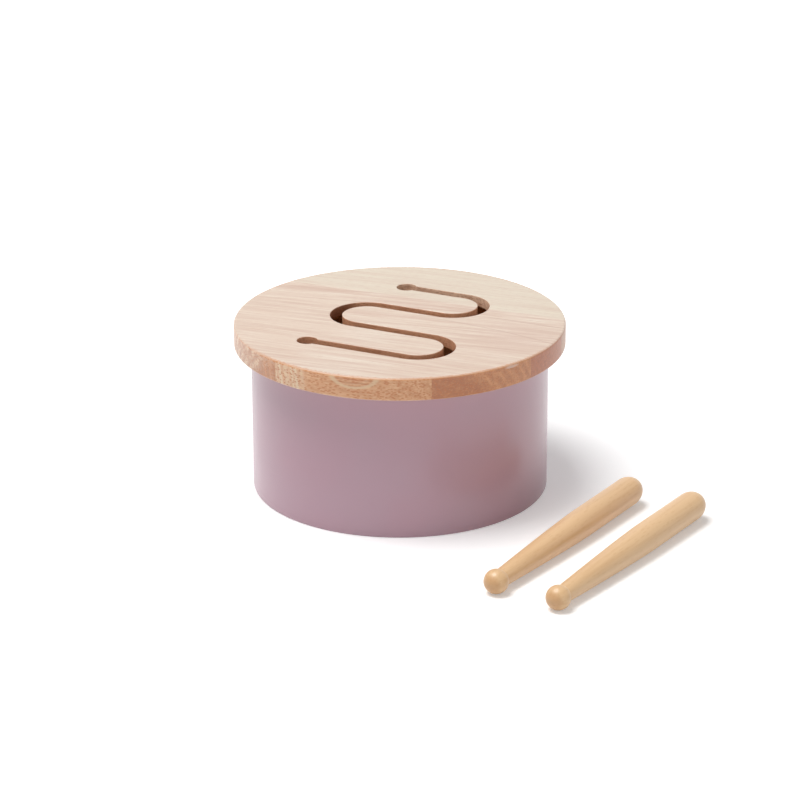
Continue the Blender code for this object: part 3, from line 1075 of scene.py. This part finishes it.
def slot_tools():
    """The swept slot and the two round holes, as cutters."""
    lid = settings().lid
    right = routed_section(lid.slot_width / 2.0, lid.slot_edge)
    section = right + [(-across, height) for across, height in reversed(right)]
    path = slot_path()
    tools = [link_object("slot_cut", swept_mesh("slot_cut", path, section))]
    hole = routed_section(lid.hole_radius, lid.slot_edge)
    profile = [(0.0, hole[-1][1])] + hole[::-1] + [(0.0, hole[0][1])]
    for x, y in (path[0], path[-1]):
        mesh = turned_mesh("hole_cut", profile, HOLE_STEPS, False)
        mesh.transform(Matrix.Translation((x, y, 0.0)))
        tools.append(link_object("hole_cut", mesh))
    return tools


def board_block(front, back):
    """A block as wide as one board, which the lid is cut down to."""
    reach = lid_reach + CUT_MARGIN
    mesh = bpy.data.meshes.new("board_block")
    shape = bmesh.new()
    bmesh.ops.create_cube(shape, size=1.0)
    for corner in shape.verts:
        across = back if corner.co.y > 0.0 else front
        x, y = turned_about_centre(math.copysign(reach, corner.co.x), across, settings().lid.board_turn)
        corner.co = Vector((x, y, lid_high.z + CUT_MARGIN if corner.co.z > 0.0 else lid_low.z - CUT_MARGIN))
    bmesh.ops.recalc_face_normals(shape, faces=shape.faces)
    shape.to_mesh(mesh)
    shape.free()
    return link_object("board_block", mesh)


def cut_mesh(mesh, cuts):
    """A mesh after exact cuts, given as (operation, tool object)."""
    item = link_object("being_cut", mesh.copy())
    for operation, tool in cuts:
        boolean = item.modifiers.new("Cut", "BOOLEAN")
        boolean.operation = operation
        boolean.object = tool
        boolean.solver = "EXACT"
    return finished_mesh(item, mesh.name)


def loose_parts(mesh):
    """One mesh for each closed body of a mesh."""
    whole = bmesh.new()
    whole.from_mesh(mesh)
    left = set(whole.verts)
    parts = []
    while left:
        waiting = [left.pop()]
        group = set(waiting)
        while waiting:
            for edge in waiting.pop().link_edges:
                for corner in edge.verts:
                    if corner in left:
                        left.discard(corner)
                        group.add(corner)
                        waiting.append(corner)
        parts.append({corner.index for corner in group})
    whole.free()
    meshes = []
    for part in parts:
        body = bmesh.new()
        body.from_mesh(mesh)
        others = [corner for corner in body.verts if corner.index not in part]
        bmesh.ops.delete(body, geom=others, context="VERTS")
        piece = bpy.data.meshes.new(mesh.name)
        body.to_mesh(piece)
        body.free()
        meshes.append(piece)
    return meshes


def nearest_board(mesh):
    """The board of the frame whose middle lies nearest to a mesh's middle."""
    corners = [vertex.co for vertex in mesh.vertices]
    low = Vector([min(corner[axis] for corner in corners) for axis in range(3)])
    high = Vector([max(corner[axis] for corner in corners) for axis in range(3)])
    return min(lid_names, key=lambda name: (sum(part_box(name), Vector()) - low - high).length)


def dress(mesh, name, body, replaced, material):
    """Turn a finished mesh into a piece that rides on its body and stands for a node."""
    mesh.name = name
    mesh.materials.clear()
    mesh.materials.append(material)
    smooth_round_faces(mesh)
    piece = link_object(name, mesh)
    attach(piece, body)
    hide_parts(replaced)


class DRUM_OT_lid(bpy.types.Operator):
    """Make the lid's boards with the slot routed through them"""

    bl_idname = "drum.make_lid"
    bl_label = "Make Lid"

    def execute(self, context):
        tools = slot_tools()
        routed = cut_mesh(lid_blank_mesh(), [("DIFFERENCE", tool) for tool in tools])
        outer = lid_reach + CUT_MARGIN
        lines = [-outer, *settings().lid.glue_lines, outer]
        found = {}
        for front, back in zip(lines, lines[1:]):
            block = board_block(front, back)
            board = cut_mesh(routed, [("INTERSECT", block)])
            bpy.data.objects.remove(block, do_unlink=True)
            point_faces_out(board)
            for mesh in loose_parts(board):
                found[nearest_board(mesh)] = mesh
        for tool in tools:
            bpy.data.objects.remove(tool, do_unlink=True)
        if sorted(found) != lid_names:
            raise RuntimeError(f"the lid came out as {sorted(found)}, not as {lid_names}")
        for number, name in enumerate(lid_names, start=1):
            material = board_material(name, number)
            dress(found[name], name.replace("board", "wood"), "drum", name, material)
        return {"FINISHED"}


# Ring and base board, with the steps of their roundings
RING_ROWS = 24
FOOT_STEPS = 6
BASE_EDGE = 0.0003
BASE_EDGE_STEPS = 3


class DRUM_OT_shell(bpy.types.Operator):
    """Make the painted ring that carries the lid"""

    bl_idname = "drum.make_shell"
    bl_label = "Make Shell"

    def execute(self, context):
        shell = settings().shell
        radius, top = shell_high.x, shell_high.z
        inner = radius - shell.wall
        ledge = base_high.z + settings().lid.groove_fit
        foot = radius - shell.foot_round
        rows = [top + (shell.foot_round - top) * step / RING_ROWS for step in range(RING_ROWS)]
        profile = [(radius, height) for height in rows]
        profile += arc((foot, shell.foot_round), shell.foot_round, 0.0, -90.0, FOOT_STEPS)
        profile += [(inner + shell.rebate, 0.0), (inner + shell.rebate, ledge), (inner, ledge), (inner, top)]
        material = paint_material()
        mesh = turned_mesh("shell", profile, settings().lid.ring_steps, True, material)
        dress(mesh, "painted_ring", "drum", "shell", material)
        return {"FINISHED"}


class DRUM_OT_base(bpy.types.Operator):
    """Make the plywood disc that closes the ring below"""

    bl_idname = "drum.make_base"
    bl_label = "Make Base Board"

    def execute(self, context):
        shell = settings().shell
        radius = shell_high.x - shell.wall + shell.rebate - settings().lid.groove_fit
        corner = radius - BASE_EDGE
        profile = [(0.0, base_high.z)]
        profile += arc((corner, base_high.z - BASE_EDGE), BASE_EDGE, 90.0, 0.0, BASE_EDGE_STEPS)
        profile += arc((corner, BASE_EDGE), BASE_EDGE, 0.0, -90.0, BASE_EDGE_STEPS)
        profile += [(0.0, 0.0)]
        material = plywood_material()
        mesh = turned_mesh("base", profile, settings().lid.ring_steps, False, material)
        dress(mesh, "plywood_disc", "drum", "base_board", material)
        return {"FINISHED"}


# Drumsticks: steps along the domed end, the taper and the ball, and seeds of the wood, left and right
DOME_STEPS = 14
TAPER_STEPS = 36
BALL_STEPS = 26
STICK_SEEDS = (17.0, 26.0)


def stick_profile():
    """Outline of a drumstick from its domed end down to its ball, whose centre is at height zero."""
    stick = settings().sticks
    neck_angle = math.degrees(math.acos(stick.neck_radius / stick.ball_radius))
    neck_place = stick.ball_radius * math.sin(math.radians(neck_angle))
    grip_end = stick.taper_length + stick.grip_length
    profile = []
    for step in range(DOME_STEPS + 1):
        angle = math.radians(90.0 * (1.0 - step / DOME_STEPS))
        profile.append((stick.grip_radius * math.cos(angle), grip_end + stick.dome_length * math.sin(angle)))
    profile[0] = (0.0, profile[0][1])
    for step in range(TAPER_STEPS + 1):
        share = step / TAPER_STEPS
        place = stick.taper_length + (neck_place - stick.taper_length) * share
        shrink = (stick.neck_radius - stick.grip_radius) * share ** stick.taper_power
        profile.append((stick.grip_radius + shrink, place))
    profile += arc((0.0, 0.0), stick.ball_radius, neck_angle, -90.0, BALL_STEPS)[1:-1]
    profile.append((0.0, -stick.ball_radius))
    return profile


class DRUM_OT_sticks(bpy.types.Operator):
    """Make the two turned drumsticks"""

    bl_idname = "drum.make_sticks"
    bl_label = "Make Drumsticks"

    def execute(self, context):
        stick = settings().sticks
        rise = math.atan2(stick.grip_radius - stick.ball_radius, stick.taper_length)
        for index, side in enumerate(("left", "right")):
            turn = stick.turns[index]
            across = -(lid_reach + stick.from_rim[index])
            x, y = turned_about_centre(-stick.ball_back[index], across, turn)
            location = Vector((x, y, stick.ball_radius))
            rotation = Euler((0.0, math.pi / 2.0 - rise, math.radians(turn)))
            material = stick_material("lacquered_" + side, location, rotation, STICK_SEEDS[index])
            mesh = turned_mesh("stick", stick_profile(), stick.steps, False, material)
            mesh.transform(Matrix.Translation(location) @ rotation.to_matrix().to_4x4())
            body = "stick_" + side
            dress(mesh, body + "_turned", body, "drumstick_" + side, material)
        return {"FINISHED"}


# Stage
WHITE = (1.0, 1.0, 1.0, 1.0)


def white_for_the_camera(tree):
    """1 for what the camera sees directly, in a reflection or through glass, 0 for light on the object."""
    rays = tree.nodes.new("ShaderNodeLightPath").outputs
    seen = math_node(tree, "MAXIMUM", rays["Is Camera Ray"], rays["Is Glossy Ray"])
    return math_node(tree, "MAXIMUM", seen, rays["Is Transmission Ray"])


def make_world(sky):
    """Even white light all round, with a white background."""
    world = bpy.data.worlds.new("studio")
    world.use_nodes = True
    tree = world.node_tree
    background = tree.nodes["Background"]
    strength = scaled(tree, white_for_the_camera(tree), 1.0 - sky, sky)
    set_inputs(tree, background, {"Color": WHITE, "Strength": strength})
    bpy.context.scene.world = world


# Rings of the floor's faces. The floor is open where the drum stands, so its underside can be looked at.
FLOOR_RINGS = (0.3, 0.6, 1.2, 2.4, 4.0)
FLOOR_STEPS = 128

# Looks of the floor: its grey, its own light beside the drum, and what that light gains further out
FLOOR_GREY = (0.90, 0.90, 0.90, 1.0)
FLOOR_LIFT = 0.29
FLOOR_LIFT_MORE = 0.60
FLOOR_LIFT_RISE = (0.16, 0.60)


def make_floor():
    """A pale round floor that turns to plain white away from the object."""
    mesh = bpy.data.meshes.new("floor")
    opening = shell_high.x - settings().shell.foot_round
    corners = []
    faces = []
    for ring, radius in enumerate((opening, *FLOOR_RINGS)):
        for step in range(FLOOR_STEPS):
            angle = math.tau * step / FLOOR_STEPS
            corners.append(Vector((radius * math.cos(angle), radius * math.sin(angle), 0.0)))
            if ring > 0:
                after = (step + 1) % FLOOR_STEPS
                outer = ring * FLOOR_STEPS
                inner = outer - FLOOR_STEPS
                faces.append((inner + step, outer + step, outer + after, inner + after))
    mesh.from_pydata(corners, [], faces)
    floor = link_object("floor", mesh)
    material, tree, shader, place, _ = new_material("pale_floor")
    lift = scaled(tree, ramp(tree, from_axis(tree, place), *FLOOR_LIFT_RISE), FLOOR_LIFT_MORE, FLOOR_LIFT)
    set_inputs(tree, shader, {
        "Base Color": FLOOR_GREY,
        "Roughness": 0.9,
        "Specular IOR Level": 0.0,
        "Emission Color": WHITE,
        "Emission Strength": times(tree, lift, white_for_the_camera(tree)),
    })
    mesh.materials.append(material)


# Where each lamp stands, as azimuth and height in degrees, distance and size, and what the lamps look at
LAMP_PLACES = {
    "softbox_overhead": (-170.0, 75.0, 2.0, 1.0),
    "softbox_left": (-120.0, 40.0, 2.0, 1.0),
    "softbox_right": (-40.0, 15.0, 1.7, 0.9),
}
LAMP_AIM = Vector((0.0, 0.0, 0.04))


def make_softbox(name, azimuth, height, distance, size, power):
    """A square lamp that looks at the drum, from an azimuth and a height above the floor in degrees."""
    turn, rise = math.radians(azimuth), math.radians(height)
    level = distance * math.cos(rise)
    place = (level * math.cos(turn), level * math.sin(turn), distance * math.sin(rise))
    light = bpy.data.lights.new(name, "AREA")
    light.shape = "SQUARE"
    light.size = size
    light.energy = power
    lamp = bpy.data.objects.new(name, light)
    bpy.context.scene.collection.objects.link(lamp)
    lamp.location = place
    lamp.rotation_euler = (LAMP_AIM - Vector(place)).to_track_quat("-Z", "Y").to_euler()


class DRUM_OT_stage(bpy.types.Operator):
    """Make the floor, the light and the camera"""

    bl_idname = "drum.make_stage"
    bl_label = "Make Stage"

    def execute(self, context):
        stage = settings().stage
        make_world(stage.sky)
        make_floor()
        powers = (stage.softbox, *stage.front_boxes)
        for (name, place), power in zip(LAMP_PLACES.items(), powers):
            make_softbox(name, *place, power)
        data = bpy.data.cameras.new("camera")
        data.lens = stage.lens
        camera = bpy.data.objects.new("camera", data)
        context.scene.collection.objects.link(camera)
        tilt = Matrix.Rotation(math.radians(stage.camera_pitch), 3, "X")
        roll = Matrix.Rotation(math.radians(stage.camera_roll), 3, "Z")
        camera.rotation_euler = (tilt @ roll).to_euler()
        camera.location = stage.camera_place
        context.scene.camera = camera
        context.scene.view_settings.view_transform = "Standard"
        return {"FINISHED"}


class DRUM_PT_panel(bpy.types.Panel):
    """Makes the drum piece by piece"""

    bl_label = "Tongue Drum"
    bl_idname = "DRUM_PT_panel"
    bl_space_type = "VIEW_3D"
    bl_region_type = "UI"
    bl_category = "Drum"

    def draw(self, context):
        for group_name in ("lid", "shell", "sticks", "stage"):
            group = getattr(context.scene.drum_settings, group_name)
            box = self.layout.box()
            box.label(text=group_name.capitalize())
            for name in group.__annotations__:
                box.prop(group, name)
        for maker in MAKERS:
            self.layout.operator(maker.bl_idname)


# Classes that hold the settings, and the operators in the order in which they run
SETTINGS = (LidSettings, ShellSettings, StickSettings, StageSettings, DrumSettings)
MAKERS = (DRUM_OT_lid, DRUM_OT_shell, DRUM_OT_base, DRUM_OT_sticks, DRUM_OT_stage)


def register():
    """Register the settings, the operators and the panel."""
    for item in (*SETTINGS, *MAKERS, DRUM_PT_panel):
        bpy.utils.register_class(item)
    bpy.types.Scene.drum_settings = PointerProperty(type=DrumSettings)


def unregister():
    """Take them out again."""
    del bpy.types.Scene.drum_settings
    for item in reversed((*SETTINGS, *MAKERS, DRUM_PT_panel)):
        bpy.utils.unregister_class(item)


def main():
    """Make everything."""
    register()
    for maker in MAKERS:
        group, name = maker.bl_idname.split(".")
        getattr(getattr(bpy.ops, group), name)()


if __name__ == "__main__":
    main()
